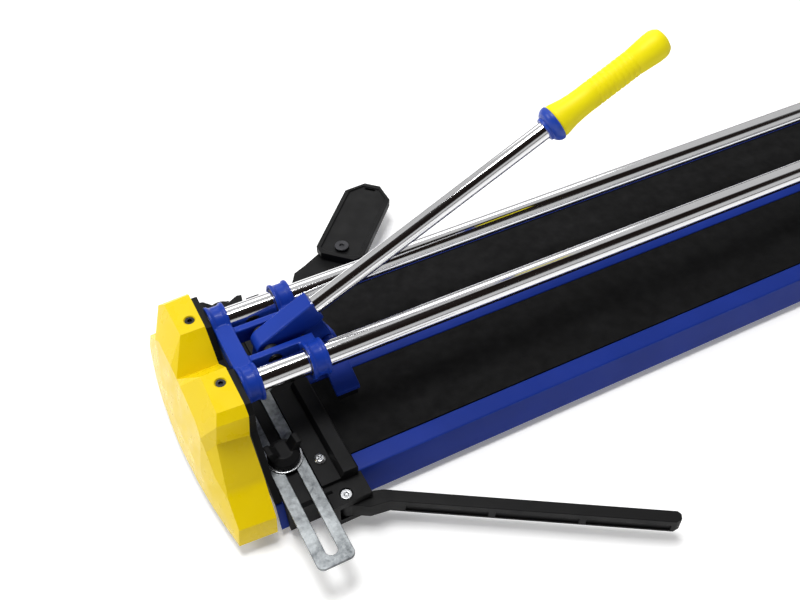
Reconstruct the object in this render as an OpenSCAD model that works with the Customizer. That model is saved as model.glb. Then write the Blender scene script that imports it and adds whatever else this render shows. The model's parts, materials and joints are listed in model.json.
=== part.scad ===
// Manual rail tile cutter: pressed bed, two round rails, sliding carriage with a push lever,
// breaker foot, scoring wheel, slotted guide bar and two folding support arms.
// +X runs along the rails, +Y points to the far side, +Z is up.
// The origin lies on the surface the feet stand on, midway along the bed and between its sides.

/* [Bed] */
// Length of the pressed bed between the end plates
bed_len = 812; // [700:4:1200]
// Width of the bed across its bottom edges
bed_w = 241; // [236:1:246]
// Height of the bed's rim above the feet
rim_z = 34; // [33:0.5:35]
// Thickness of the bed's sheet
sheet_t = 2; // [1.5:0.5:2.5]
// Thickness of each rubber pad
pad_t = 5.5; // [5:0.5:6]

/* [Rails] */
// Diameter of each rail
rail_d = 22; // [20:1:24]
// Distance between the rail axes
rail_gap = 76; // [74:1:80]
// Height of the rail axes above the feet
rail_z = 106; // [104:1:110]

/* [End pieces] */
// Thickness of each black end plate
plate_t = 6; // [5:1:8]
// Depth of each end cap at its middle
cap_depth = 52; // [48:1:60]
// Height of the end caps' rail bosses
cap_top = 122; // [122:1:126]

/* [Carriage and lever] */
// Length of the carriage along the rails
carriage_len = 76.4; // [76:0.2:80]
// Angle of the handle above level
handle_angle = 26.6; // [20:0.1:35]
// Distance from the lever pin to the ferrule
handle_reach = 299; // [260:1:340]
// Diameter of the handle tube
tube_d = 16; // [14:1:17]
// Length of the grip
grip_len = 114; // [90:1:130]
// Diameter of the scoring wheel
wheel_d = 14; // [12:1:14]

/* [Guide bar and arms] */
// Length of the slotted guide bar
bar_len = 200; // [180:1:210]
// Reach of the narrow near arm from its screw
near_arm_len = 280; // [200:1:320]
// Angle of the near arm away from the rails
near_arm_angle = 32; // [10:1:60]
// Angle of the far arm away from the rails
far_arm_angle = 45.8; // [10:0.1:60]

/* [Hidden] */
$fn = 48;

// Bed
foot_h = 8;
bed_end = bed_len / 2;
bed_side = bed_w / 2;
rim_outer = bed_side - 8.5;
rim_inner = bed_side - 25.5;
seat_z = rim_z - 5;
pad_top = seat_z + pad_t;
ridge_half = 8;
ridge_top = pad_top + 2.5;
side_slope = (bed_side - rim_outer) / (rim_z - 1.2 - foot_h);
member_w = 30;
member_t = 3;
spine_half = 20;
member_x = bed_end - 90;
member_y = rim_inner + 12;
member_z = seat_z - sheet_t;
spine_z = foot_h + 3;
foot_r = 12;
foot_y = 92;
foot_rim = 2;

// Rails and ends
rail_r = rail_d / 2;
rail_y = rail_gap / 2;
plate_x = bed_end + plate_t;
cap_x = plate_x + cap_depth;
rail_end = plate_x + 22;
tube_wall = 3;
cap_bottom = 14;
cap_half = bed_side + 4.5;
valley_z = cap_top - 23;
plate_screw_r = 1.6;
plate_screw_y = 62;
plate_screw_z = 90;
cap_screw_x = plate_x + 9.4;
cap_screw_r = 2.5;
cap_head_r = 4.25;

// Guide bed, fence and bar
guide_x0 = -bed_end + 0.5;
ledge_x = -bed_end + 34.5;
fence_x = -bed_end + 52;
fence_end = -bed_end + 68.5;
guide_top = rim_z + 4;
ledge_top = guide_top + 4;
fence_top = guide_top + 11;
guide_side = bed_side + 4.5;
guide_edge = rim_outer + 3;
fence_near = -117;
fence_far = 107;
wing_t = 11;
near_wing_r = 15;
far_wing_r = 20;
notch_half = 9;
fence_screw_x = (ledge_x + fence_x) / 2 + 0.8;
fence_screw_y = [-92, 66];
fence_screw_r = 2;
bar_w = 33;
bar_corner = 6;
bar_t = 3;
bar_mid = ledge_x - 0.75 - bar_w / 2;
lift = 0.3;
bar_z = guide_top + lift;
bar_near = -187;
bar_slot_w = 10.5;
slot_margin = 9;
stud_r = 4;
near_stud = [bar_mid, -76];
far_stud = [bar_mid + 10.5, 100];
studs = [near_stud, far_stud];
washer_t = 1.5;
washer_r = 16.5;
skirt_r = 14.5;
skirt_h = 8.5;
knob_h = 19;
knob_bore = 8.5;
knob_turn = [4, -12];
stud_head_r = 7;
stud_head_t = 3;

// Height of the washer on a stud: above the bar on the near one, on the fence's ledge on the far one
function washer_z(at) = at == near_stud ? bar_z + bar_t + lift : ledge_top;

// Height of the knob's underside on a stud
function knob_z(at) = washer_z(at) + washer_t + lift;

// Arms
fit = 0.05;
gap = 0.4;
arm_z0 = 15;
arm_z1 = 31;
near_pivot = [-bed_end + 50.5, -bed_side - 10];
lug_t = 6.5;
near_pin_r = 3;
near_head_r = 5;
near_head_t = 3;
far_pin_r = 4;
far_pivot = [-bed_end + 176.5, bed_side + 26.5];
far_arm_z0 = 21.5;
far_arm_z1 = 31;
far_head_z = far_arm_z1 - 1.1;
far_shelf_z = 13;
bracket_screw_x = [far_pivot[0] - 56, far_pivot[0] + 16];
bracket_screw_z = 13;
bracket_screw_r = 2;

// Carriage and lever
carriage_x0 = -bed_end + 0.3;
carriage_x1 = carriage_x0 + carriage_len;
collar_len = 16.4;
bush_r = rail_r + 1.6;
pivot = [-bed_end + 38, rail_z - 2];
side_bar_in = 14.5;
side_bar_out = 21;
head_half = 9;
head_r = 11.5;
lug_r = 6;
head_len = 53;
tube_start = 14;
tube_end = handle_reach + 60;
collar_r = 15;
collar_rim_r = 16.6;
bar_drop = 10;
lever_pin_r = 5;
wheel_reach = 53.5;
wheel_line = 180 + 50;
foot_pin = [40.3, -41.3];
foot_pin_r = 3;
foot_half = 48;
foot_t = 4;
foot_drop = 7;
foot_tip_z = 60;
foot_w = 23;

// ---- helpers ----

// Extrudes an outline drawn in (y, z) from x0 to x1
module along_x(x0, x1) {
    translate([x0, 0, 0])
        rotate([90, 0, 90])
            linear_extrude(x1 - x0) children();
}

// Extrudes an outline drawn in (x, z) over y0 to y1
module along_y(y0, y1) {
    translate([0, y1, 0])
        rotate([90, 0, 0])
            linear_extrude(y1 - y0) children();
}

// Draws its children on both sides of the middle plane
module both_sides() {
    children();
    mirror([0, 1, 0]) children();
}

// Draws its children at both ends of the bed
module both_ends() {
    children();
    mirror([1, 0, 0]) children();
}

// Round bar along X
module rod_x(r, x0, x1, y, z) {
    translate([x0, y, z]) rotate([0, 90, 0]) cylinder(r = r, h = x1 - x0);
}

// Round bar along Y at (x, z)
module rod_y(r, y0, y1, x, z) {
    translate([x, y1, z]) rotate([90, 0, 0]) cylinder(r = r, h = y1 - y0);
}

// Box between two corners
module block(a, b) {
    translate(a) cube(b - a);
}

// Straight slot with round ends along Y, centred at (x, y)
module slot_y(x, y0, y1, w, z0, z1) {
    block([x - w / 2, y0 + w / 2, z0], [x + w / 2, y1 - w / 2, z1]);
    for (y = [y0 + w / 2, y1 - w / 2])
        translate([x, y, z0]) cylinder(r = w / 2, h = z1 - z0);
}

// Places children in the lever's own frame: x along the handle, z square to it
module lever_frame() {
    translate([pivot[0], 0, pivot[1]]) rotate([0, -handle_angle, 0]) children();
}

// ---- bed ----

// Holes for the two studs
module stud_holes() {
    for (at = studs)
        translate([at[0], at[1], seat_z - sheet_t - 1]) cylinder(r = stud_r, h = 20);
}

// Holes for the two screws that hold the far bracket to the bed's side
module bracket_screw_holes() {
    for (x = bracket_screw_x)
        rod_y(bracket_screw_r, bed_side - 12, bed_side + 12, x, bracket_screw_z);
}

// Half section of the bed in (y, z)
module bed_half_outline() {
    polygon([
        [0, seat_z], [rim_inner - 1, seat_z], [rim_inner - 1, rim_z - 1], [rim_inner, rim_z],
        [rim_outer - 2, rim_z], [rim_outer, rim_z - 1.2], [bed_side, foot_h],
        [bed_side - sheet_t, foot_h], [rim_outer - sheet_t, rim_z - sheet_t],
        [rim_inner + 1, rim_z - sheet_t], [rim_inner + 1, seat_z - sheet_t], [0, seat_z - sheet_t]
    ]);
}

module bed_tray() {
    color("#26397f")
        difference() {
            both_sides() along_x(-plate_x, plate_x) bed_half_outline();
            stud_holes();
            bracket_screw_holes();
        }
}

module breaking_ridge() {
    color("#2a429a")
        along_x(fence_end + 0.3, bed_end)
            polygon([[-ridge_half, seat_z], [ridge_half, seat_z], [ridge_half, pad_top + 0.5],
                     [3, ridge_top], [-3, ridge_top], [-ridge_half, pad_top + 0.5]]);
}

module pad(side) {
    color("#141414")
        block([fence_end + 0.3, side > 0 ? ridge_half + 0.2 : -rim_inner + 1.2, seat_z],
              [bed_end, side > 0 ? rim_inner - 1.2 : -ridge_half - 0.2, pad_top]);
}

module cross_member(side) {
    color("#8d9196")
        difference() {
            block([side * member_x - member_w / 2, -member_y, foot_h],
                  [side * member_x + member_w / 2, member_y, member_z]);
            block([side * member_x - member_w / 2 + member_t, -member_y - 1, foot_h + member_t],
                  [side * member_x + member_w / 2 - member_t, member_y + 1, member_z - member_t]);
        }
}

module spine_beam() {
    color("#8d9196")
        difference() {
            block([-member_x + member_w / 2, -spine_half, spine_z],
                  [member_x - member_w / 2, spine_half, member_z]);
            block([-member_x, -spine_half + member_t, spine_z + member_t],
                  [member_x, spine_half - member_t, member_z - member_t]);
        }
}

module rubber_feet() {
    color("#1b1b1b")
        both_ends() both_sides()
            translate([member_x, foot_y, 0]) {
                cylinder(r = foot_r - foot_rim, h = foot_rim);
                translate([0, 0, foot_rim]) cylinder(r = foot_r, h = foot_h - foot_rim);
            }
    // middle foot under the spine, where tiles are broken
    color("#1b1b1b") {
        cylinder(r = foot_r - foot_rim, h = foot_rim);
        translate([0, 0, foot_rim]) cylinder(r = foot_r, h = spine_z - foot_rim);
    }
}

// ---- end plates, caps and rails ----

// Half outline of an end plate in (y, z)
module plate_half_outline() {
    polygon([
        [0, seat_z], [rim_inner - 1, seat_z], [rim_inner - 1, rim_z - 1], [rim_inner, rim_z],
        [rim_outer - 2, rim_z], [rim_outer, rim_z + 2], [91, 52],
        [69, 85], [72, 111], [65, cap_top - 4], [26, cap_top - 4], [5, valley_z - 3], [0, valley_z - 3]
    ]);
}

// Holes for the screws that join one end plate to its cap
module plate_screw_holes() {
    both_sides() rod_x(plate_screw_r, bed_end - 2, plate_x + 14, plate_screw_y, plate_screw_z);
}

module end_plate() {
    color("#191a1c")
        difference() {
            both_sides() along_x(bed_end, plate_x) plate_half_outline();
            both_sides() rod_x(rail_r, bed_end - 1, plate_x + 1, rail_y, rail_z);
            plate_screw_holes();
        }
}

// Half outline of an end cap in (y, z), seen along the rails
module cap_half_outline() {
    polygon([
        [0, cap_bottom], [cap_half, cap_bottom], [cap_half - 3, 33], [93, 55], [72, 87], [75, 115],
        [67, cap_top], [25, cap_top], [2, valley_z], [0, valley_z]
    ]);
}

// Plan of a cap at one level: the front bows outwards and its ends stay back
module cap_plan(depth, bow, half) {
    steps = 8;
    polygon(concat(
        [[0, -half], [0, half]],
        [for (i = [0 : steps])
            let (y = half - 2 * half * i / steps)
                [depth - bow * pow(abs(y) / half, 2), y]]
    ));
}

// Outer body of a cap, leaning back from its skirt to its top
module cap_body() {
    hull() {
        translate([plate_x, 0, cap_bottom])
            linear_extrude(8) cap_plan(cap_depth, 14, cap_half);
        translate([plate_x, 0, 60])
            linear_extrude(1) cap_plan(cap_depth - 6, 13, cap_half);
        translate([plate_x, 0, cap_top - 11])
            linear_extrude(1) cap_plan(cap_depth - 15, 8, cap_half);
        translate([plate_x, 0, cap_top - 1])
            linear_extrude(1) cap_plan(cap_depth - 23, 3, cap_half);
    }
}

module end_cap() {
    wall = 5;
    color("#f2dc12")
        difference() {
            intersection() {
                cap_body();
                both_sides() along_x(plate_x, cap_x + 1) cap_half_outline();
            }
            // pocket behind the front rim of each shoulder
            both_sides()
                along_x(plate_x - 1, plate_x + 24)
                    polygon([[77, 130], [77, 88], [96, 60], [135, 60], [135, 130]]);
            // hollow inside each wing and below the rails
            both_sides()
                along_x(plate_x - 1, plate_x + 22)
                    polygon([[8, cap_bottom + wall], [cap_half - wall, cap_bottom + wall],
                             [cap_half - wall - 3, 29], [86, 49], [64, 78], [58, 86], [8, 86]]);
            plate_screw_holes();
            both_sides() rod_x(rail_r, plate_x - 1, rail_end, rail_y, rail_z);
            both_sides() translate([cap_screw_x, rail_y, rail_z]) cylinder(r = cap_screw_r, h = 40);
            both_sides() translate([cap_screw_x, rail_y, cap_top - 5]) cylinder(r = cap_head_r + 0.4, h = 10);
        }
}

module rail(side) {
    color("#d9dcdf")
        difference() {
            rod_x(rail_r, -rail_end, rail_end, side * rail_y, rail_z);
            rod_x(rail_r - tube_wall, -rail_end - 1, rail_end + 1, side * rail_y, rail_z);
            both_ends() translate([cap_screw_x, side * rail_y, rail_z]) cylinder(r = cap_screw_r, h = 20);
        }
}

module cap_screws() {
    color("#2c2d30")
        both_ends() both_sides()
            translate([cap_screw_x, rail_y, 0])
                difference() {
                    union() {
                        translate([0, 0, rail_z + 4]) cylinder(r = cap_screw_r, h = cap_top - 5 - rail_z - 4);
                        translate([0, 0, cap_top - 5]) cylinder(r = cap_head_r, h = 4.2);
                    }
                    translate([0, 0, cap_top - 3.3]) cylinder(r = 2.3, h = 4, $fn = 6);
                }
}

module plate_screws() {
    color("#8f9296")
        both_ends() both_sides()
            difference() {
                union() {
                    rod_x(plate_screw_r, bed_end, plate_x + 14, plate_screw_y, plate_screw_z);
                    rod_x(3, bed_end - 1.6, bed_end, plate_screw_y, plate_screw_z);
                }
                rod_x(1.2, bed_end - 2, bed_end - 0.6, plate_screw_y, plate_screw_z, $fn = 6);
            }
}

// ---- guide bed, fence and slotted bar ----

// Holes for the fence's screws, blind in the guide bed
module fence_screw_holes() {
    for (y = fence_screw_y)
        translate([fence_screw_x, y, seat_z + 2]) cylinder(r = fence_screw_r, h = 20);
}

module guide_bed() {
    color("#1c1c1e")
        difference() {
            union() {
                along_x(guide_x0, fence_end)
                    polygon([
                        [-rim_inner + 1.2, seat_z], [rim_inner - 1.2, seat_z], [rim_inner - 1.2, rim_z],
                        [guide_edge, rim_z], [guide_edge, guide_top], [-guide_edge, guide_top],
                        [-guide_edge, rim_z], [-rim_inner + 1.2, rim_z]
                    ]);
                both_sides()
                    along_x(guide_x0, near_pivot[0] - 9.6)
                        polygon([[bed_side + 0.6, foot_h], [guide_side, foot_h], [guide_side, rim_z + 1],
                                 [guide_side - 3, guide_top], [guide_edge - 1, guide_top],
                                 [guide_edge - 1, rim_z], [rim_outer + 0.6, rim_z]]);
                // boss that carries the far washer
                translate([far_stud[0], far_stud[1], guide_top - 1])
                    cylinder(r = stud_r + 2, h = ledge_top - guide_top + 1);
            }
            stud_holes();
            fence_screw_holes();
        }
}

module fence() {
    color("#202022")
        difference() {
            along_y(fence_near, fence_far)
                polygon([
                    [ledge_x, guide_top], [fence_end, guide_top], [fence_end, fence_top - 1.5],
                    [fence_end - 1.5, fence_top], [fence_x + 3, fence_top], [fence_x, ledge_top + 2],
                    [fence_x, ledge_top], [ledge_x, ledge_top]
                ]);
            block([ledge_x - 1, -notch_half, guide_top + 2], [fence_end + 1, notch_half, fence_top + 1]);
            fence_screw_holes();
        }
}

module fence_screws() {
    head_r = 5.2;
    color("#b9bcc0")
        for (y = fence_screw_y)
            translate([fence_screw_x, y, 0])
                difference() {
                    union() {
                        translate([0, 0, seat_z + 3]) cylinder(r = fence_screw_r, h = ledge_top - seat_z - 3);
                        translate([0, 0, ledge_top]) cylinder(r = head_r, h = 1.6);
                        translate([0, 0, ledge_top + 1.6]) cylinder(r1 = head_r, r2 = 3, h = 1.4);
                    }
                    for (turn = [25, 115])
                        rotate([0, 0, turn]) block([-3, -0.6, ledge_top + 1.2], [3, 0.6, ledge_top + 4]);
                }
}

module guide_bar() {
    color("#a9adb0")
        difference() {
            union() {
                block([bar_mid - bar_w / 2, bar_near + bar_corner, bar_z],
                      [bar_mid + bar_w / 2, bar_near + bar_len - bar_corner, bar_z + bar_t]);
                block([bar_mid - bar_w / 2 + bar_corner, bar_near, bar_z],
                      [bar_mid + bar_w / 2 - bar_corner, bar_near + bar_len, bar_z + bar_t]);
                for (x = [-1, 1], y = [bar_near + bar_corner, bar_near + bar_len - bar_corner])
                    translate([bar_mid + x * (bar_w / 2 - bar_corner), y, bar_z])
                        cylinder(r = bar_corner, h = bar_t);
            }
            slot_y(bar_mid, bar_near + slot_margin, bar_near + bar_len - slot_margin, bar_slot_w,
                   bar_z - 1, bar_z + bar_t + 1);
        }
}

module bar_studs() {
    color("#9a9da1")
        for (at = studs)
            translate([at[0], at[1], seat_z - sheet_t]) {
                cylinder(r = stud_r, h = knob_z(at) + knob_bore - lift - seat_z + sheet_t);
                translate([0, 0, -stud_head_t]) cylinder(r = stud_head_r, h = stud_head_t);
            }
}

module bar_washers() {
    color("#c9ccd0")
        for (at = studs)
            translate([at[0], at[1], washer_z(at)])
                difference() {
                    cylinder(r = washer_r, h = washer_t);
                    translate([0, 0, -1]) cylinder(r = stud_r, h = washer_t + 2);
                }
}

// Wing knob: round skirt with two wings that rise above it. The near one is the smaller, to clear the
// end plate as it turns.
module knob(at, turn, wing_r) {
    color("#1e1e20")
        translate([at[0], at[1], knob_z(at)])
            rotate([0, 0, turn])
                difference() {
                    union() {
                        cylinder(r = skirt_r, h = skirt_h - 3);
                        translate([0, 0, skirt_h - 3]) cylinder(r1 = skirt_r, r2 = skirt_r - 5, h = 5);
                        along_y(-wing_t / 2, wing_t / 2)
                            polygon([[-wing_r + 3, 3], [wing_r - 3, 3], [wing_r + 1, knob_h], [wing_r - 4, knob_h],
                                     [4.5, skirt_h + 1], [-4.5, skirt_h + 1], [-wing_r + 4, knob_h],
                                     [-wing_r - 1, knob_h]]);
                    }
                    translate([0, 0, -1]) cylinder(r = stud_r + fit, h = knob_bore + 1);
                }
}

// ---- support arms ----

// Web, upper lug and lower lug that hold the near arm's screw
module near_arm_bracket() {
    x = near_pivot[0];
    y = near_pivot[1];
    front = y - 8.5;
    color("#1c1c1e")
        difference() {
            union() {
                block([x - 15, front, foot_h], [x - 9.6, -guide_side, guide_top]);
                block([x - 9.6, front, guide_top - lug_t], [x + 20.5, -guide_edge, guide_top]);
                block([x - 9.6, front, foot_h], [x + 20.5, -bed_side - 0.6, arm_z0 - gap]);
            }
            translate([x, y, foot_h - 1]) cylinder(r = near_pin_r, h = guide_top);
            translate([x, y, guide_top - near_head_t]) cylinder(r = near_head_r + 0.8, h = 10);
        }
}

// Outline of the near arm with its screw at the origin and its bar along +X
module near_arm_outline() {
    polygon([
        [-3, -6.5], [21, -6.5], [37, 0.5], [near_arm_len - 5, 0.5], [near_arm_len, 4],
        [near_arm_len, 9], [near_arm_len - 3, 11.5], [30, 11.5], [12, 7], [0, 8.2]
    ]);
}

module near_arm() {
    color("#1f1f21")
        translate([near_pivot[0], near_pivot[1], arm_z0])
            rotate([0, 0, -near_arm_angle])
                difference() {
                    union() {
                        linear_extrude(arm_z1 - arm_z0) near_arm_outline();
                        cylinder(r = 8.4, h = arm_z1 - arm_z0);
                    }
                    translate([0, 0, -1]) cylinder(r = near_pin_r + fit, h = arm_z1);
                    // long shallow recesses in the outer side, split by short webs
                    for (i = [0 : 2])
                        block([50 + i * 76, 0, 2.5], [120 + i * 76, 2.2, 9.5]);
                }
}

module near_arm_screw() {
    x = near_pivot[0];
    y = near_pivot[1];
    color("#b9bcc0")
        translate([x, y, 0])
            difference() {
                union() {
                    translate([0, 0, foot_h]) cylinder(r = near_pin_r, h = guide_top - near_head_t - foot_h);
                    translate([0, 0, guide_top - near_head_t]) cylinder(r = near_head_r, h = 2.6);
                }
                translate([0, 0, guide_top - 1.9]) cylinder(r = 2, h = 4, $fn = 6);
            }
}

// Shelf on the far side of the bed that the wide arm turns on
module far_arm_bracket() {
    x = far_pivot[0];
    y = far_pivot[1];
    color("#1c1c1e")
        difference() {
            union() {
                translate([0, 0, far_shelf_z])
                    linear_extrude(far_arm_z0 - 0.5 - far_shelf_z)
                        polygon([
                            [x - 68, bed_side + 2], [x - 68, y - 21], [x - 57, y - 4], [x - 44, y + 1],
                            [x - 19, y + 13], [x + 11, y + 16], [x + 22, y + 3], [x + 25, bed_side + 2]
                        ]);
                // flange whose inner face follows the slope of the bed's side
                along_x(x - 68, x + 25)
                    polygon([[bed_side, foot_h], [bed_side + 4, foot_h], [bed_side + 4, far_arm_z0 - 0.5],
                             [bed_side - side_slope * (far_arm_z0 - 0.5 - foot_h), far_arm_z0 - 0.5]]);
            }
            translate([x, y, foot_h]) cylinder(r = far_pin_r, h = far_arm_z1);
            bracket_screw_holes();
        }
}

module bracket_screws() {
    color("#b9bcc0")
        for (x = bracket_screw_x)
            difference() {
                union() {
                    rod_y(bracket_screw_r, bed_side - 8, bed_side + 4, x, bracket_screw_z);
                    rod_y(4, bed_side - 8, bed_side - 5.4, x, bracket_screw_z);
                }
                rod_y(1.5, bed_side - 9, bed_side - 6.6, x, bracket_screw_z, $fn = 6);
            }
}

// Outline of the wide far arm with its screw at the origin and its panel along +X
module far_arm_outline(inset) {
    half = 26 - inset;
    end = 105 - inset;
    polygon([
        [-15 + inset, -half + 8], [-7, -half], [87, -half], [end, -9], [end, 9],
        [87, half], [-7, half], [-15 + inset, half - 8]
    ]);
}

module far_arm() {
    slot_x = 98;
    color("#222224")
        translate([far_pivot[0], far_pivot[1], far_arm_z0])
            rotate([0, 0, far_arm_angle])
                difference() {
                    linear_extrude(far_arm_z1 - far_arm_z0) far_arm_outline(0);
                    translate([0, 0, far_arm_z1 - far_arm_z0 - 1.5]) linear_extrude(3) far_arm_outline(5);
                    translate([0, 0, -1]) cylinder(r = far_pin_r + fit, h = far_arm_z1);
                    block([slot_x - 1.5, -5.5, -1], [slot_x + 1.5, 5.5, 20]);
                }
}

module far_arm_screw() {
    color("#b9bcc0")
        translate([far_pivot[0], far_pivot[1], 0])
            difference() {
                union() {
                    translate([0, 0, far_shelf_z]) cylinder(r = far_pin_r, h = far_head_z - far_shelf_z);
                    translate([0, 0, far_head_z]) cylinder(r = 7.5, h = 3.2);
                }
                translate([0, 0, far_head_z + 1.5]) cylinder(r = 2.6, h = 4, $fn = 6);
            }
}

// ---- carriage ----

// One collar round a rail, with a raised rim at each end
module collar(x0) {
    rod_x(collar_r, x0, x0 + collar_len, rail_y, rail_z);
    rod_x(collar_rim_r, x0, x0 + 3, rail_y, rail_z);
    rod_x(collar_rim_r, x0 + collar_len - 3, x0 + collar_len, rail_y, rail_z);
}

// Arm from the side bar to the front collar
module collar_web() {
    translate([carriage_x1 - collar_len + 1.5, 0, 0])
        block([0, side_bar_in, rail_z - bar_drop], [collar_len - 3, rail_y - 8, rail_z + 7]);
}

module carriage() {
    bar_z0 = rail_z - bar_drop;
    bar_z1 = rail_z + 7;
    color("#2846b4")
        difference() {
            union() {
                both_sides() {
                    collar(carriage_x0);
                    collar(carriage_x1 - collar_len);
                    collar_web();
                    block([carriage_x0 + 8, side_bar_in, bar_z0],
                          [carriage_x1 - 3, side_bar_out, bar_z1]);
                }
                block([carriage_x0 + 0.4, -rail_y, bar_z0 + 3],
                      [carriage_x0 + collar_len - 0.4, rail_y, rail_z + 9]);
            }
            both_sides() rod_x(bush_r, carriage_x0 - 1, carriage_x1 + 1, rail_y, rail_z);
            rod_y(lever_pin_r, -40, 40, pivot[0], pivot[1]);
        }
}

module glide_bushes() {
    color("#e6e6e0")
        both_sides()
            for (x = [carriage_x0, carriage_x1 - collar_len])
                difference() {
                    rod_x(bush_r, x, x + collar_len, rail_y, rail_z);
                    rod_x(rail_r + fit, x - 1, x + collar_len + 1, rail_y, rail_z);
                }
}

module lever_pin() {
    color("#b9bcc0")
        rod_y(lever_pin_r, -side_bar_out - 1.6, side_bar_out + 1.6, pivot[0], pivot[1]);
}

module pin_clips() {
    color("#5a5d61")
        both_sides()
            difference() {
                rod_y(lever_pin_r + 1.3, side_bar_out, side_bar_out + 1, pivot[0], pivot[1]);
                rod_y(lever_pin_r, side_bar_out - 1, side_bar_out + 2, pivot[0], pivot[1]);
            }
}

// ---- lever, in its own frame: x along the handle ----

module lever_washers() {
    color("#d8d8d2")
        lever_frame()
            both_sides()
                difference() {
                    rod_y(7, head_half, side_bar_in - 0.3, 0, 0);
                    rod_y(lever_pin_r + fit, head_half - 1, side_bar_in + 1, 0, 0);
                }
}

module lever_head() {
    color("#2846b4")
        lever_frame()
            difference() {
                union() {
                    rod_y(head_r, -head_half, head_half, 0, 0);
                    along_y(-head_half, head_half)
                        polygon([[-0.4, head_r], [head_len, 13.2], [head_len, -10.5], [head_len - 7, -13], [0, -head_r]]);
                    // boss that grips the wheel holder
                    rotate([0, 90 - wheel_line, 0])
                        block([-8, -8, 0], [8, 8, 26]);
                    // lug down to the breaker foot's pin
                    along_y(-6, 6)
                        polygon([[26, -8], [50, -8], [foot_pin[0] + lug_r, foot_pin[1]],
                                 [foot_pin[0] - lug_r, foot_pin[1]]]);
                    rod_y(lug_r, -6, 6, foot_pin[0], foot_pin[1]);
                }
                rod_x(tube_d / 2, tube_start, head_len + 7, 0, 0);
                rod_y(lever_pin_r + fit, -20, 20, 0, 0);
                rod_y(foot_pin_r, -20, 20, foot_pin[0], foot_pin[1]);
                rotate([0, 90 - wheel_line, 0])
                    block([-5, -5, 9], [5, 5, 30]);
                rotate([0, 90 - wheel_line, 0])
                    rod_x(2, -12, 0, 0, 18);
            }
}

module handle_tube() {
    color("#d9dcdf")
        lever_frame()
            difference() {
                rod_x(tube_d / 2, tube_start, tube_end, 0, 0);
                rod_x(tube_d / 2 - 2, tube_start - 1, tube_end + 1, 0, 0);
            }
}

// Turned shape along the handle from [distance, radius] pairs
module turned(points, bore) {
    rotate([0, 90, 0])
        rotate_extrude()
            polygon(concat([for (p = points) [p[1], p[0]]],
                           [[bore, points[len(points) - 1][0]], [bore, points[0][0]]]));
}

module grip_ferrule() {
    a = handle_reach;
    color("#1f4aa8")
        lever_frame()
            turned([[a, 10.5], [a + 1.5, 13], [a + 6, 15.6], [a + 9, 16], [a + 11, 15.4]], tube_d / 2);
}

module grip() {
    a = handle_reach + 11;
    color("#e8e010")
        lever_frame()
            difference() {
                turned([[a, 15], [a + 3, 14.8], [a + 14, 12.8], [a + 30, 11.6], [a + 56, 11.8],
                        [a + 84, 12.6], [a + grip_len - 14, 13.6], [a + grip_len - 5, 13],
                        [a + grip_len - 1, 10], [a + grip_len, 6]], 0);
                rod_x(tube_d / 2, a - 1, tube_end, 0, 0);
            }
}

module wheel_holder() {
    fork = 2.2;
    color("#9fa3a8")
        lever_frame()
            rotate([0, 90 - wheel_line, 0])
                difference() {
                    union() {
                        block([-5, -5, 9], [5, 5, wheel_reach - 9]);
                        block([-4, -5, wheel_reach - 10], [4, 5, wheel_reach]);
                        rod_y(4, -5, 5, 0, wheel_reach);
                    }
                    block([-10, -fork, wheel_reach - 8], [10, fork, wheel_reach + 10]);
                    rod_y(2.5, -10, 10, 0, wheel_reach);
                }
}

module holder_screw() {
    color("#2c2d30")
        lever_frame()
            rotate([0, 90 - wheel_line, 0])
                difference() {
                    rod_x(2, -10.5, -5, 0, 18);
                    rod_x(1.1, -11, -8.5, 0, 18, $fn = 6);
                }
}

module scoring_wheel() {
    r = wheel_d / 2;
    color("#8f9296")
        lever_frame()
            rotate([0, 90 - wheel_line, 0])
                translate([0, 0, wheel_reach])
                    rotate([90, 0, 0])
                        rotate_extrude()
                            polygon([[2.5 + fit, -1.8], [r - 2.4, -1.8], [r, -0.1], [r, 0.1],
                                     [r - 2.4, 1.8], [2.5 + fit, 1.8]]);
}

module wheel_axle() {
    color("#b9bcc0")
        lever_frame()
            rotate([0, 90 - wheel_line, 0])
                rod_y(2.5, -6, 6, 0, wheel_reach);
}

module breaker_pin() {
    color("#b9bcc0")
        lever_frame() rod_y(foot_pin_r, -12.5, 12.5, foot_pin[0], foot_pin[1]);
}

// Pin of the breaker foot in world coordinates [x, z]
foot_at = [
    pivot[0] + foot_pin[0] * cos(handle_angle) - foot_pin[1] * sin(handle_angle),
    pivot[1] + foot_pin[0] * sin(handle_angle) + foot_pin[1] * cos(handle_angle)
];

// Roof-shaped plate that slopes down to both ends
module breaker_foot() {
    x = foot_at[0];
    top_z = foot_at[1] - foot_drop;
    color("#26398a")
        along_x(x - foot_w / 2, x + foot_w / 2)
            polygon([[-foot_half, foot_tip_z], [-7, top_z], [7, top_z], [foot_half, foot_tip_z],
                     [foot_half, foot_tip_z - foot_t], [7, top_z - foot_t], [-7, top_z - foot_t],
                     [-foot_half, foot_tip_z - foot_t]]);
}

// Two ears welded on the foot that hold its pin
module foot_ears() {
    x = foot_at[0];
    z = foot_at[1];
    slope = (z - foot_drop - foot_tip_z) / (foot_half - 7);
    color("#26398a")
        both_sides()
            difference() {
                union() {
                    along_x(x - 6, x + 6)
                        polygon([[6.5, z - foot_drop], [7, z - foot_drop], [11, z - foot_drop - 4 * slope],
                                 [11, z], [6.5, z]]);
                    rod_y(6, 6.5, 11, x, z);
                }
                rod_y(foot_pin_r + fit, 5, 20, x, z);
            }
}

module breaker_pads() {
    x = foot_at[0];
    z = foot_tip_z - foot_t;
    color("#191919")
        both_sides()
            along_x(x - foot_w / 2 + 2, x + foot_w / 2 - 2)
                polygon([[foot_half, z], [foot_half, z - 6], [foot_half - 11, z - 6],
                         [foot_half - 11, z + 11 * (foot_at[1] - foot_drop - foot_tip_z) / (foot_half - 7)]]);
}

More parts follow.
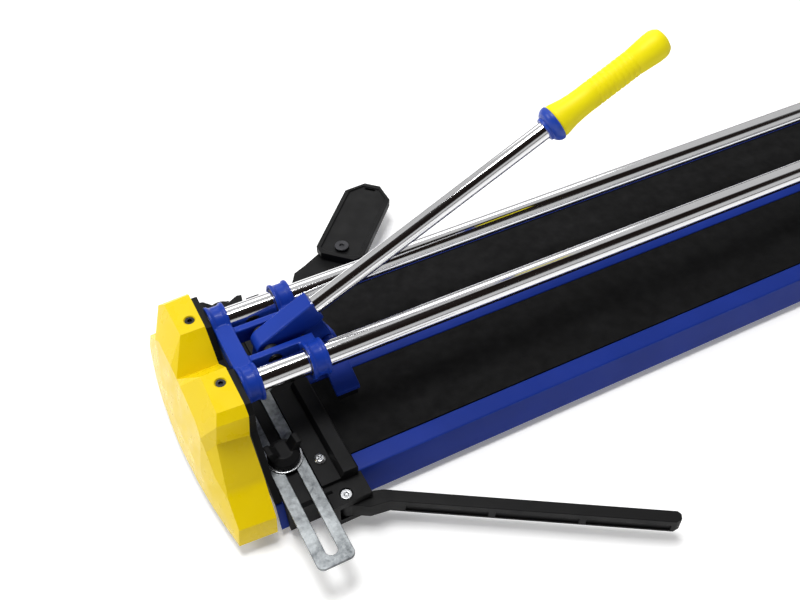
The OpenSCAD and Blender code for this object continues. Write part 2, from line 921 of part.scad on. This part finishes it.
bed_tray();
breaking_ridge();
pad(-1);  // near_pad
pad(1);  // far_pad
cross_member(-1);  // left_cross_member
cross_member(1);  // right_cross_member
spine_beam();
rubber_feet();
mirror([1, 0, 0]) end_plate();  // left_end_plate
end_plate();  // right_end_plate
mirror([1, 0, 0]) end_cap();  // left_end_cap
end_cap();  // right_end_cap
rail(-1);  // near_rail
rail(1);  // far_rail
cap_screws();
plate_screws();
guide_bed();
fence();
fence_screws();
guide_bar();
bar_studs();
bar_washers();
knob(near_stud, knob_turn[0], near_wing_r);  // near_knob
knob(far_stud, knob_turn[1], far_wing_r);  // far_knob
near_arm_bracket();
near_arm();
near_arm_screw();
far_arm_bracket();
bracket_screws();
far_arm();
far_arm_screw();
carriage();
glide_bushes();
lever_head();
lever_pin();
pin_clips();
lever_washers();
handle_tube();
grip_ferrule();
grip();
breaker_foot();
foot_ears();
breaker_pads();
breaker_pin();
wheel_holder();
holder_screw();
scoring_wheel();
wheel_axle();
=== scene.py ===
# Looks for the tile cutter: materials, detailed pieces, a plain studio and the camera.
# All lengths are in metres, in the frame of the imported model.
import json
import math

import bmesh
import bpy
from mathutils import Matrix, Vector


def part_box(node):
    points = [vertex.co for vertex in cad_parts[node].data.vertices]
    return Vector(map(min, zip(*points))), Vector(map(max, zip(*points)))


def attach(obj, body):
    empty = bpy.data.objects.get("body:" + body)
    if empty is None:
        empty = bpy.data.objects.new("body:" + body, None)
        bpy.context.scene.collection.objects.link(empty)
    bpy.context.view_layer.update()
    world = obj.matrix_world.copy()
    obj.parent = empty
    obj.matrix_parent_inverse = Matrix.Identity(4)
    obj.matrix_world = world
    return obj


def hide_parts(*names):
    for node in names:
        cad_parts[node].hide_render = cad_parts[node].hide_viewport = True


MM = 0.001

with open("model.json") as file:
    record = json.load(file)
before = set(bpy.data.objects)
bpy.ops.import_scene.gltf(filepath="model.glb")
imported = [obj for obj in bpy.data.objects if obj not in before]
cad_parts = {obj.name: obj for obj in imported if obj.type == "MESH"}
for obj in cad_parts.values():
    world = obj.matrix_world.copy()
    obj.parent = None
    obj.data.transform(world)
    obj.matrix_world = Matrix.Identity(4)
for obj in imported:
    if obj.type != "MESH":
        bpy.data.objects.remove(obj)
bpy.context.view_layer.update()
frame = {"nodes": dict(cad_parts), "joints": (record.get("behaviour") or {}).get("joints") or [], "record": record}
nodes = frame["nodes"]


# ---------------------------------------------------------------- camera and studio

CAMERA_TARGET = Vector((-228.0, 38.3, 40.0)) * MM
CAMERA_DISTANCE = 947.1 * MM
CAMERA_AZIMUTH = -27.1
CAMERA_ELEVATION = 47.7
LENS = 43.4
SENSOR_WIDTH = 36.0
LENS_SHIFT = (0.0125, 0.01025)
NEAREST = 0.01

# The chrome mirrors a dark part of the ceiling: its direction, its stretch along X and the half angles
# between which it fades. The horizon's two heights are where it fades from white to dark.
DARK_CEILING = Vector((-0.30, -0.42, 0.90)).normalized()
CEILING_STRETCH = (0.35, 1.0, 1.0)
CEILING_EDGES = (43.0, 37.0)
HORIZON_EDGES = (0.10, 0.05)
SURROUND_STRENGTH = 0.6
SURROUND_WHITE = (1.0, 1.0, 1.0, 1.0)
SURROUND_DARK = (0.022, 0.016, 0.014, 1.0)
BACKDROP = (1.6, 1.6, 1.6, 1.0)

# Name, place, size and power in watts of each soft box
SOFT_BOXES = (
    ("key", (-2.1, 0.8, 1.5), (1.2, 0.9), 17.0),
    ("top", (-0.45, 0.3, 2.5), (1.0, 0.9), 44.0),
    ("back", (0.5, 2.0, 1.5), (1.8, 0.9), 10.0),
    ("fill", (-1.6, -1.6, 0.6), (1.2, 0.5), 2.4),
)
FLOOR_REACH = 6.0
FLOOR_GLOW = 0.2


def link(obj):
    bpy.context.scene.collection.objects.link(obj)
    return obj


def aim(obj, target):
    """Turns a camera or light so that it looks at target."""
    away = Vector(target) - obj.location
    obj.rotation_euler = away.to_track_quat("-Z", "Y").to_euler()


def make_camera():
    camera = link(bpy.data.objects.new("camera", bpy.data.cameras.new("camera")))
    camera.data.lens = LENS
    camera.data.sensor_width = SENSOR_WIDTH
    camera.data.shift_x, camera.data.shift_y = LENS_SHIFT
    camera.data.clip_start = NEAREST
    turn = math.radians(CAMERA_AZIMUTH)
    lift = math.radians(CAMERA_ELEVATION)
    back = Vector((math.sin(turn) * math.cos(lift), -math.cos(turn) * math.cos(lift), math.sin(lift)))
    camera.location = CAMERA_TARGET + back * CAMERA_DISTANCE
    aim(camera, CAMERA_TARGET)
    bpy.context.scene.camera = camera


def area_light(name, place, size, power):
    light = bpy.data.lights.new(name, "AREA")
    light.shape = "RECTANGLE"
    light.size, light.size_y = size
    light.energy = power
    obj = link(bpy.data.objects.new(name, light))
    obj.location = place
    aim(obj, CAMERA_TARGET)


class Surround:
    """The world: white, with a dark part in the ceiling and a thin dark horizon for the chrome to mirror."""

    def __init__(self):
        self.world = bpy.data.worlds.new("studio")
        self.world.use_nodes = True
        self.tree = self.world.node_tree

    def add(self, kind, *sources, **settings):
        """A node whose first inputs are linked to sources."""
        node = self.tree.nodes.new(kind)
        for key, value in settings.items():
            setattr(node, key, value)
        for socket, source in zip(node.inputs, sources):
            self.tree.links.new(source, socket)
        return node

    def ramp(self, value, edges):
        """0 at the first edge and 1 at the second, with a soft step between them."""
        node = self.add("ShaderNodeMapRange", value, interpolation_type="SMOOTHSTEP")
        node.inputs["From Min"].default_value, node.inputs["From Max"].default_value = edges
        return node.outputs["Result"]

    def mix(self, factor, a, b):
        """Colour a where the factor is 0 and b where it is 1; a is a colour or a socket."""
        node = self.add("ShaderNodeMix", factor, data_type="RGBA")
        if isinstance(a, bpy.types.NodeSocket):
            self.tree.links.new(a, node.inputs["A"])
        else:
            node.inputs["A"].default_value = a
        node.inputs["B"].default_value = b
        return node.outputs["Result"]

    def ceiling(self, direction):
        stretched = self.add("ShaderNodeVectorMath", direction, operation="MULTIPLY")
        stretched.inputs[1].default_value = CEILING_STRETCH
        unit = self.add("ShaderNodeVectorMath", stretched.outputs[0], operation="NORMALIZE")
        toward = self.add("ShaderNodeVectorMath", unit.outputs[0], operation="DOT_PRODUCT")
        toward.inputs[1].default_value = DARK_CEILING
        return self.ramp(toward.outputs["Value"], [math.cos(math.radians(edge)) for edge in CEILING_EDGES])

    def build(self):
        direction = self.add("ShaderNodeTexCoord").outputs["Generated"]
        height = self.add("ShaderNodeSeparateXYZ", direction).outputs["Z"]
        horizon = self.ramp(height, HORIZON_EDGES)
        dark = self.add("ShaderNodeMath", self.ceiling(direction), horizon, operation="MAXIMUM").outputs[0]
        mirrored = self.mix(dark, SURROUND_WHITE, SURROUND_DARK)
        seen = self.add("ShaderNodeLightPath").outputs["Is Camera Ray"]
        background = self.tree.nodes["Background"]
        self.tree.links.new(self.mix(seen, mirrored, BACKDROP), background.inputs["Color"])
        background.inputs["Strength"].default_value = SURROUND_STRENGTH
        bpy.context.scene.world = self.world


def make_studio():
    for soft_box in SOFT_BOXES:
        area_light(*soft_box)
    Surround().build()
    bpy.context.scene.view_settings.view_transform = "Standard"


def make_floor():
    mesh = bpy.data.meshes.new("floor")
    corners = [(x * FLOOR_REACH, y * FLOOR_REACH, 0.0) for x, y in ((-1, -1), (1, -1), (1, 1), (-1, 1))]
    mesh.from_pydata(corners, [], [(0, 1, 2, 3)])
    floor = link(bpy.data.objects.new("floor", mesh))
    floor.data.materials.append(paper("floor_paper"))


# ---------------------------------------------------------------- materials

EVEN = (1.0, 1.0, 1.0)
ALONG_X = (0.02, 1.0, 1.0)


class Look:
    """A Principled material with short calls for the nodes that feed it."""

    def __init__(self, name, roughness, metallic=0.0, specular=0.5, coat=0.0, coat_roughness=0.12):
        self.material = bpy.data.materials.new(name)
        self.material.use_nodes = True
        self.tree = self.material.node_tree
        self.shader = self.tree.nodes["Principled BSDF"]
        self.shader.inputs["Roughness"].default_value = roughness
        self.shader.inputs["Metallic"].default_value = metallic
        self.shader.inputs["Specular IOR Level"].default_value = specular
        self.shader.inputs["Coat Weight"].default_value = coat
        self.shader.inputs["Coat Roughness"].default_value = coat_roughness
        self.place = self.add("ShaderNodeTexCoord").outputs["Object"]

    def add(self, kind, **settings):
        node = self.tree.nodes.new(kind)
        for key, value in settings.items():
            setattr(node, key, value)
        return node

    def put(self, socket, value):
        """Sets a socket to a number or colour, or links it to another socket."""
        if isinstance(value, bpy.types.NodeSocket):
            self.tree.links.new(value, socket)
        elif isinstance(value, tuple) and len(value) == 3 and socket.type == "RGBA":
            socket.default_value = (*value, 1.0)
        else:
            socket.default_value = value

    def stretched(self, scale):
        mapping = self.add("ShaderNodeMapping")
        self.put(mapping.inputs["Vector"], self.place)
        self.put(mapping.inputs["Scale"], scale)
        return mapping.outputs["Vector"]

    def noise(self, scale, detail=4.0, roughness=0.5, stretch=EVEN):
        node = self.add("ShaderNodeTexNoise")
        self.put(node.inputs["Vector"], self.stretched(stretch))
        self.put(node.inputs["Scale"], scale)
        self.put(node.inputs["Detail"], detail)
        self.put(node.inputs["Roughness"], roughness)
        return node.outputs["Fac"]

    def crystals(self, scale):
        """A random grey for each cell."""
        node = self.add("ShaderNodeTexVoronoi")
        self.put(node.inputs["Vector"], self.place)
        self.put(node.inputs["Scale"], scale)
        split = self.add("ShaderNodeSeparateColor")
        self.put(split.inputs["Color"], node.outputs["Color"])
        return split.outputs[0]

    def remap(self, value, low, high, to_low=0.0, to_high=1.0):
        node = self.add("ShaderNodeMapRange")
        self.put(node.inputs["Value"], value)
        for key, number in zip(("From Min", "From Max", "To Min", "To Max"), (low, high, to_low, to_high)):
            self.put(node.inputs[key], number)
        return node.outputs["Result"]

    def math(self, operation, a, b=0.0):
        node = self.add("ShaderNodeMath", operation=operation, use_clamp=False)
        self.put(node.inputs[0], a)
        self.put(node.inputs[1], b)
        return node.outputs[0]

    def mix(self, factor, a, b):
        node = self.add("ShaderNodeMix", data_type="RGBA")
        self.put(node.inputs["Factor"], factor)
        self.put(node.inputs["A"], a)
        self.put(node.inputs["B"], b)
        return node.outputs["Result"]

    def edges(self, radius):
        """1 on sharp edges and 0 on flat faces."""
        bevel = self.add("ShaderNodeBevel", samples=6)
        self.put(bevel.inputs["Radius"], radius)
        normal = self.add("ShaderNodeNewGeometry").outputs["Normal"]
        dot = self.add("ShaderNodeVectorMath", operation="DOT_PRODUCT")
        self.put(dot.inputs[0], bevel.outputs["Normal"])
        self.put(dot.inputs[1], normal)
        return self.remap(dot.outputs["Value"], 0.99, 0.88)

    def color(self, value):
        self.put(self.shader.inputs["Base Color"], value)

    def roughness(self, value):
        self.put(self.shader.inputs["Roughness"], value)

    def uneven_roughness(self, middle, scale, less, more=0.1):
        self.roughness(self.remap(self.noise(scale, detail=4.0), 0.3, 0.7, middle - less, middle + more))

    def bump(self, height, distance):
        node = self.add("ShaderNodeBump")
        self.put(node.inputs["Height"], height)
        self.put(node.inputs["Distance"], distance)
        self.put(self.shader.inputs["Normal"], node.outputs["Normal"])


def painted(name, color, dark, lit_and_worn_edge, roughness, coat):
    """Powder coat or cast paint: orange peel, faint mottling, and sharp edges painted lighter in patches, partly
    as wear and partly as a painted highlight.
    """
    look = Look(name, roughness=roughness, specular=0.12, coat=coat)
    cloud = look.noise(scale=14.0, detail=5.0, roughness=0.6)
    base = look.mix(look.remap(cloud, 0.35, 0.7), dark, color)
    patches = look.remap(look.noise(scale=160.0, detail=3.0), 0.35, 0.6)
    # Sharp edges are painted lighter in patches: partly wear, partly a painted highlight.
    lit_and_worn_mask = look.math("MULTIPLY", look.edges(radius=0.8 * MM), patches)
    look.color(look.mix(lit_and_worn_mask, base, lit_and_worn_edge))
    look.uneven_roughness(roughness, scale=38.0, less=0.06)
    look.bump(look.noise(scale=420.0, detail=2.0), distance=0.02 * MM)
    return look.material


def moulded(name, color, dark, roughness, grain, depth, lit_and_worn_edge=None, specular=0.4):
    """Moulded plastic: fine grain, soft unevenness and, when an edge colour is given, sharp edges painted lighter
    in patches, partly as wear and partly as a painted highlight.
    """
    look = Look(name, roughness=roughness, specular=specular)
    cloud = look.noise(scale=22.0, detail=5.0, roughness=0.6)
    base = look.mix(look.remap(cloud, 0.3, 0.7), dark, color)
    if lit_and_worn_edge:
        patches = look.remap(look.noise(scale=120.0, detail=3.0), 0.3, 0.65)
        # Sharp edges are painted lighter in patches: partly wear, partly a painted highlight.
        lit_and_worn_mask = look.math("MULTIPLY", look.edges(radius=0.6 * MM), patches)
        base = look.mix(lit_and_worn_mask, base, lit_and_worn_edge)
    look.color(base)
    look.uneven_roughness(roughness, scale=60.0, less=0.07)
    look.bump(look.noise(scale=grain, detail=2.0), distance=depth)
    return look.material


def plated(name, color, dark, roughness, brush=EVEN, grain=900.0, depth=0.002 * MM):
    """Plated or brushed metal with fine scratches along one direction."""
    look = Look(name, roughness=roughness, metallic=1.0)
    cloud = look.noise(scale=30.0, detail=4.0, roughness=0.6)
    look.color(look.mix(look.remap(cloud, 0.3, 0.7), dark, color))
    scratch = look.noise(scale=grain, detail=2.0, stretch=brush)
    look.roughness(look.remap(scratch, 0.3, 0.75, roughness - 0.03, roughness + 0.08))
    look.bump(scratch, distance=depth)
    return look.material


def galvanised(name):
    """Hot-dip zinc: cloudy grey with faint crystals and fine rolling scratches."""
    look = Look(name, roughness=0.4, metallic=1.0)
    cloud = look.remap(look.noise(scale=42.0, detail=7.0, roughness=0.72), 0.34, 0.66)
    crystals = look.math("MULTIPLY", look.crystals(scale=260.0), 0.22)
    shade = look.math("ADD", crystals, look.math("MULTIPLY", cloud, 0.78))
    look.color(look.mix(shade, (0.045, 0.05, 0.055), (0.34, 0.36, 0.37)))
    look.roughness(look.remap(cloud, 0.0, 1.0, 0.3, 0.5))
    look.bump(look.noise(scale=600.0, detail=3.0), distance=0.01 * MM)
    return look.material


def rubber(name):
    """Matt rubber with a fine texture and a little dust."""
    look = Look(name, roughness=0.72, specular=0.12)
    dust = look.remap(look.noise(scale=26.0, detail=6.0, roughness=0.65), 0.45, 0.8)
    look.color(look.mix(dust, (0.0028, 0.0028, 0.0030), (0.0070, 0.0070, 0.0074)))
    look.roughness(look.remap(look.noise(scale=90.0, detail=4.0), 0.3, 0.7, 0.62, 0.82))
    look.bump(look.noise(scale=1400.0, detail=2.0), distance=0.06 * MM)
    return look.material


def paper(name):
    """White studio paper, which glows a little so that it stays pale far from the soft boxes."""
    look = Look(name, roughness=0.9, specular=0.1)
    look.color(look.mix(look.noise(scale=3.0), (0.97, 0.97, 0.97), (0.99, 0.99, 0.99)))
    look.put(look.shader.inputs["Emission Color"], (1.0, 1.0, 1.0))
    look.put(look.shader.inputs["Emission Strength"], FLOOR_GLOW)
    return look.material


# Name of each material slot and the call that makes its material. Colours come light first, then dark; a third
# colour, where given, is painted on sharp edges, partly as wear and partly as a painted highlight.
LOOKS = {
    "tray_blue": lambda name: painted(
        name, (0.008, 0.030, 0.26), (0.006, 0.025, 0.22), lit_and_worn_edge=(0.03, 0.09, 0.42), roughness=0.4, coat=0.06
    ),
    "carriage_blue": lambda name: painted(
        name, (0.009, 0.042, 0.34), (0.008, 0.035, 0.29), lit_and_worn_edge=(0.03, 0.11, 0.52), roughness=0.34, coat=0.12
    ),
    "cap_yellow": lambda name: moulded(
        name, (0.80, 0.59, 0.002), (0.77, 0.555, 0.002), roughness=0.3, grain=160.0, depth=0.004 * MM,
        specular=0.2
    ),
    "black_plastic": lambda name: moulded(
        name, (0.0042, 0.0042, 0.0046), (0.0030, 0.0030, 0.0033), lit_and_worn_edge=(0.014, 0.014, 0.015),
        roughness=0.52, grain=1100.0, depth=0.03 * MM, specular=0.16
    ),
    "pad_rubber": rubber,
    "rail_chrome": lambda name: plated(
        name, (0.80, 0.80, 0.81), (0.76, 0.76, 0.77), roughness=0.09, brush=ALONG_X, grain=240.0,
        depth=0.0002 * MM
    ),
    "zinc": lambda name: plated(name, (0.66, 0.67, 0.68), (0.5, 0.51, 0.53), roughness=0.26),
    "galvanised": galvanised,
    "dark_steel": lambda name: plated(name, (0.06, 0.06, 0.065), (0.03, 0.03, 0.033), roughness=0.36),
    "bush_plastic": lambda name: moulded(
        name, (0.02, 0.02, 0.022), (0.014, 0.014, 0.016), roughness=0.4, grain=700.0, depth=0.02 * MM
    ),
    "grip_yellow": lambda name: moulded(
        name, (0.93, 0.80, 0.003), (0.88, 0.75, 0.003), roughness=0.46, grain=1500.0, depth=0.04 * MM,
        specular=0.2
    ),
    "ferrule_blue": lambda name: moulded(
        name, (0.012, 0.06, 0.42), (0.01, 0.045, 0.34), roughness=0.3, grain=600.0, depth=0.02 * MM
    ),
    "carbide": lambda name: plated(name, (0.42, 0.43, 0.45), (0.32, 0.33, 0.35), roughness=0.2),
}


# ---------------------------------------------------------------- pieces

# Sizes of the pieces from here on are in millimetres.
SEGMENTS = 96
RAIL_WALL = 3.0
RAIL_LIP = 0.5

# Handle, along its own axis from the lever's pin
HANDLE_ANGLE = math.radians(26.6)
TUBE_START = 14.0
TUBE_END = 359.0
TUBE_R = 8.0
TUBE_BORE_R = 6.0
FERRULE_START = 299.0
GRIP_START = FERRULE_START + 11.0
GRIP_BORE_DEPTH = 49.0
RIB_START = 40.0
RIB_PITCH = 5.0
RIBS = 9

# (distance along the piece, radius)
FERRULE_BELL = ((0, TUBE_R), (0, 10), (0.6, 10.6), (2.6, 10.9), (3, 12.6), (5, 14.6), (7, 15.6), (8.6, 16),
                (10.4, 16), (11, 15.4), (11, TUBE_R))
GRIP_FLARE = ((0, TUBE_R), (0, 14.6), (0.6, 15), (3, 15), (8, 14), (14, 12.9), (22, 12.1), (30, 11.8))
GRIP_RIB = ((0, 11.9), (0.6, 11.4), (1.4, 11.4), (2, 11.9))
GRIP_END = ((92, 12.8), (100, 13.5), (106, 13.5), (109.5, 12.6), (112.5, 10.6), (114, 7), (114.4, 3))
AXIS_R = 0.01

# Half of an end cap from the valley between its bosses to the end of its wing. Each station has a point
# on the rear edge, one where the top meets the front bevel, and one where the bevel meets the front
# face: (y, z, depth in front of the end plate).
CAP_STATIONS = (
    ((0, 99, 0), (0, 99.5, 37.5), (0, 99.5, 37.5)),
    ((25, 122, 0), (25, 122, 22), (12, 104, 38)),
    ((67, 122, 0), (65.5, 121.5, 23), (48, 98, 38)),
    ((75, 115, 0), (73.5, 115, 27), (59, 90, 39)),
    ((72, 86, 1.5), (71, 90, 29.5), (66, 78, 38.5)),
    ((93.5, 54, 1), (92, 55, 33.5), (80, 59, 38)),
    ((99, 50, 1.5), (97.5, 47, 34.8), (97.5, 47, 34.8)),
    ((122, 33, 3.5), (119, 32, 35.5), (119, 32, 35.5)),
    ((124, 14, 5), (122, 14, 38.6), (122, 14, 38.6)),
)
CAP_SKIRT_DEPTH = 50.0
CAP_BOW = 11.5
CAP_BELLY = 1.6
CAP_BELLY_HEIGHT = 80.0
CAP_WALL = 3.0
CAP_EDGE = 1.1
CAP_CREASE = math.radians(13)
SHORTEST_EDGE = 3.0

# The first face of a boss is counted from the middle station
BOSS_STATION = 1
HEAD_R = 4.25
WELL_R = HEAD_R + 0.4
WELL_DEPTH = 4.4
WELL_FLANGE = 1.3
WELL_POINTS = 32

# Node, voxel size and rounds of smoothing
CASTINGS = (("carriage", 0.8, 5), ("lever_head", 0.7, 14), ("near_knob", 0.55, 5), ("far_knob", 0.55, 5))
EDGE_WIDTH = 0.6
EDGE_ANGLE = math.radians(35)
FLAT_ANGLE = math.radians(0.5)

make_camera()
make_studio()
make_floor()

materials = {name: build(name) for name, build in LOOKS.items()}
slot_of = {part["node"]: part["material_slot"] for part in frame["record"]["subparts"]}
body_of = {node: body for body, names in frame["record"]["behaviour"]["bodies"].items() for node in names}
adopted = set()


def smooth_shaded(obj):
    obj.data.polygons.foreach_set("use_smooth", [True] * len(obj.data.polygons))


def soften(obj):
    """Breaks the sharp edges of a mesh and shades it smooth."""
    bevel = obj.modifiers.new("bevel", "BEVEL")
    bevel.width = EDGE_WIDTH * MM
    bevel.segments = 2
    bevel.limit_method = "ANGLE"
    bevel.angle_limit = EDGE_ANGLE
    bevel.harden_normals = True
    smooth_shaded(obj)
    obj.modifiers.new("normals", "WEIGHTED_NORMAL").keep_sharp = True


def weld(obj):
    obj.modifiers.new("weld", "WELD").merge_threshold = 0.01 * MM


def dress(node):
    """Gives a CAD node its material and softly broken edges."""
    obj = nodes[node]
    obj.data.materials.clear()
    obj.data.materials.append(materials[slot_of[node]])
    weld(obj)
    flatten = obj.modifiers.new("flatten", "DECIMATE")
    flatten.decimate_type = "DISSOLVE"
    flatten.angle_limit = FLAT_ANGLE
    soften(obj)


def adopt(obj, node):
    """A new piece takes the body, slot and material of the CAD node that it stands for."""
    slot = slot_of[node]
    obj.data.materials.clear()
    obj.data.materials.append(materials[slot])
    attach(obj, body_of[node])
    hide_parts(node)
    adopted.add(node)


def mesh_object(name, bm, matrix=None):
    mesh = bpy.data.meshes.new(name)
    bmesh.ops.recalc_face_normals(bm, faces=bm.faces)
    bm.to_mesh(mesh)
    bm.free()
    obj = link(bpy.data.objects.new(name, mesh))
    if matrix is not None:
        obj.matrix_world = matrix
        bpy.context.view_layer.update()
    return obj


def turned(name, profile, matrix, crease=30.0):
    """A lathe shape about local X from closed [(x, radius), ...] points, sharp where it turns by crease."""
    bm = bmesh.new()
    angles = [2 * math.pi * k / SEGMENTS for k in range(SEGMENTS)]
    rings = []
    for x, radius in profile:
        ring = [bm.verts.new(Vector((x, radius * math.cos(a), radius * math.sin(a))) * MM) for a in angles]
        rings.append(ring)
    for ring, after in zip(rings, rings[1:] + rings[:1]):
        for k in range(SEGMENTS):
            n = (k + 1) % SEGMENTS
            bm.faces.new((ring[k], ring[n], after[n], after[k]))
    obj = mesh_object(name, bm, matrix)
    smooth_shaded(obj)
    obj.data.set_sharp_from_angle(angle=math.radians(crease))
    return obj


def rail(node):
    """Tube with slightly rounded ends, where the CAD rail is."""
    low, high = (Vector(corner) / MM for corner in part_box(node))
    radius = (high.z - low.z) / 2
    middle = (low + high) / 2
    length = high.x - low.x
    profile = [(0, radius - RAIL_WALL), (0, radius - RAIL_LIP), (RAIL_LIP, radius),
               (length - RAIL_LIP, radius), (length, radius - RAIL_LIP), (length, radius - RAIL_WALL)]
    start = Matrix.Translation(Vector((low.x, middle.y, middle.z)) * MM)
    adopt(turned(node + "_tube", profile, start), node)


def handle_frame():
    """Origin at the lever's pin and X along the handle."""
    hinge = next(joint for joint in frame["joints"] if joint["name"] == "lever_hinge")
    return Matrix.Translation(hinge["pos_m"]) @ Matrix.Rotation(-HANDLE_ANGLE, 4, "Y")


def shifted(profile, distance):
    return [(distance + x, radius) for x, radius in profile]


def handle():
    """Polished tube, bell ferrule and moulded grip on the lever's axis."""
    place = handle_frame()
    tube = [(TUBE_START, TUBE_BORE_R), (TUBE_START, TUBE_R), (TUBE_END, TUBE_R), (TUBE_END, TUBE_BORE_R)]
    adopt(turned("lever_tube", tube, place), "handle_tube")
    bell = shifted(FERRULE_BELL, FERRULE_START)
    adopt(turned("bell_ferrule", bell, place, crease=40.0), "grip_ferrule")
    ribs = [point for k in range(RIBS) for point in shifted(GRIP_RIB, RIB_START + k * RIB_PITCH)]
    bore = [(GRIP_END[-1][0], AXIS_R), (GRIP_BORE_DEPTH, AXIS_R), (GRIP_BORE_DEPTH, TUBE_R)]
    grip = shifted([*GRIP_FLARE, *ribs, *GRIP_END, *bore], GRIP_START)
    adopt(turned("moulded_grip", grip, place, crease=50.0), "grip")


def cast(node, voxel, rounds):
    """A casting or moulding: the CAD node's own shape with all of its edges rounded over."""
    obj = link(bpy.data.objects.new(node + "_casting", nodes[node].data.copy()))
    obj.matrix_world = nodes[node].matrix_world.copy()
    bpy.context.view_layer.update()
    weld(obj)
    remesh = obj.modifiers.new("remesh", "REMESH")
    remesh.mode = "VOXEL"
    remesh.voxel_size = voxel * MM
    remesh.use_smooth_shade = True
    smooth = obj.modifiers.new("smooth", "SMOOTH")
    smooth.factor = 0.5
    smooth.iterations = rounds
    adopt(obj, node)


def cap_stations():
    """Rear, top, brow, waist and skirt points of every station across the whole cap."""
    bottom = CAP_STATIONS[-1][0][1]
    widest = CAP_STATIONS[-1][1][0]
    half = []
    for rear, top, brow in CAP_STATIONS:
        skirt = (brow[0], bottom, CAP_SKIRT_DEPTH - CAP_BOW * (brow[0] / widest) ** 2)
        belly = CAP_BELLY * min(1.0, max(0.0, (brow[1] - bottom) / CAP_BELLY_HEIGHT))
        y, z, depth = ((a + b) / 2 for a, b in zip(brow, skirt))
        half.append((rear, top, brow, (y, z, depth + belly), skirt))
    mirrored = [tuple((-y, z, depth) for y, z, depth in station) for station in reversed(half[1:])]
    return mirrored + half


def ring_face(bm, corners, middle):
    """Fills a flat four-sided face around the round well of a screw."""
    rim, floor, outer = [], [], []
    for k in range(WELL_POINTS):
        a = 2 * math.pi * k / WELL_POINTS
        away = Vector((math.cos(a), math.sin(a), 0)) * WELL_R * MM
        rim.append(bm.verts.new(middle + away))
        floor.append(bm.verts.new(middle + away - Vector((0, 0, WELL_DEPTH * MM))))
        outer.append(bm.verts.new(middle + away * WELL_FLANGE))
    for k in range(WELL_POINTS):
        n = (k + 1) % WELL_POINTS
        bm.faces.new((rim[k], rim[n], outer[n], outer[k]))
        bm.faces.new((rim[k], rim[n], floor[n], floor[k]))
    bm.faces.new(floor)
    nearest = [min(corners, key=lambda c: -(v.co - middle).normalized().dot((c.co - middle).normalized()))
               for v in outer]
    for k in range(WELL_POINTS):
        n = (k + 1) % WELL_POINTS
        bm.faces.new((outer[k], outer[n], nearest[k]))
        if nearest[k] != nearest[n]:
            bm.faces.new((outer[n], nearest[n], nearest[k]))


def cap_faces(bm, plate, side):
    """Skins the cap in front of the end plate, and returns the corners of the two boss tops."""
    grid = [[bm.verts.new((plate + side * depth * MM, y * MM, z * MM)) for y, z, depth in station]
            for station in cap_stations()]
    middle = len(CAP_STATIONS) - 1
    bosses = (middle + BOSS_STATION, middle - BOSS_STATION - 1)
    tops = []
    for i in range(len(grid) - 1):
        for row in range(len(grid[i]) - 1):
            corners = [grid[i][row], grid[i + 1][row], grid[i + 1][row + 1], grid[i][row + 1]]
            if row == 0 and i in bosses:
                tops.append(corners)
            else:
                bm.faces.new(corners)
    return tops


def sink_wells(bm, tops, side):
    """Sinks a well for a clamping screw in each boss, over the rail."""
    screws_low, screws_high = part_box("cap_screws")
    screw_x = screws_low[0] + HEAD_R * MM if side < 0 else screws_high[0] - HEAD_R * MM
    rail_low, rail_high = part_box("far_rail")
    rail_y = (rail_low[1] + rail_high[1]) / 2
    for corners in tops:
        y = math.copysign(rail_y, corners[0].co.y)
        top = sum(corner.co.z for corner in corners) / len(corners)
        ring_face(bm, corners, Vector((screw_x, y, top)))


def weigh_creases(bm):
    """Marks the long edges between facets for the bevel."""
    weight = bm.edges.layers.float.new("bevel_weight_edge")
    for edge in bm.edges:
        if len(edge.link_faces) == 2 and edge.calc_length() > SHORTEST_EDGE * MM:
            edge[weight] = 1.0 if edge.calc_face_angle(0.0) > CAP_CREASE else 0.0


def end_cap(node, side):
    """A faceted moulding with two rail bosses, sloping shoulders and a bowed front."""
    low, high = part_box(node)
    bm = bmesh.new()
    tops = cap_faces(bm, high[0] if side < 0 else low[0], side)
    sink_wells(bm, tops, side)
    bmesh.ops.remove_doubles(bm, verts=bm.verts, dist=0.05 * MM)
    bmesh.ops.dissolve_degenerate(bm, edges=bm.edges, dist=0.05 * MM)
    weigh_creases(bm)
    obj = mesh_object(node + "_moulding", bm)
    bevel = obj.modifiers.new("bevel", "BEVEL")
    bevel.width = CAP_EDGE * MM
    bevel.segments = 3
    bevel.limit_method = "WEIGHT"
    wall = obj.modifiers.new("wall", "SOLIDIFY")
    wall.thickness = CAP_WALL * MM
    wall.offset = -1.0
    smooth_shaded(obj)
    obj.modifiers.new("normals", "WEIGHTED_NORMAL")
    adopt(obj, node)


rail("near_rail")
rail("far_rail")
handle()
end_cap("left_end_cap", -1)
end_cap("right_end_cap", 1)
for casting in CASTINGS:
    cast(*casting)
for node in nodes:
    if node not in adopted:
        dress(node)
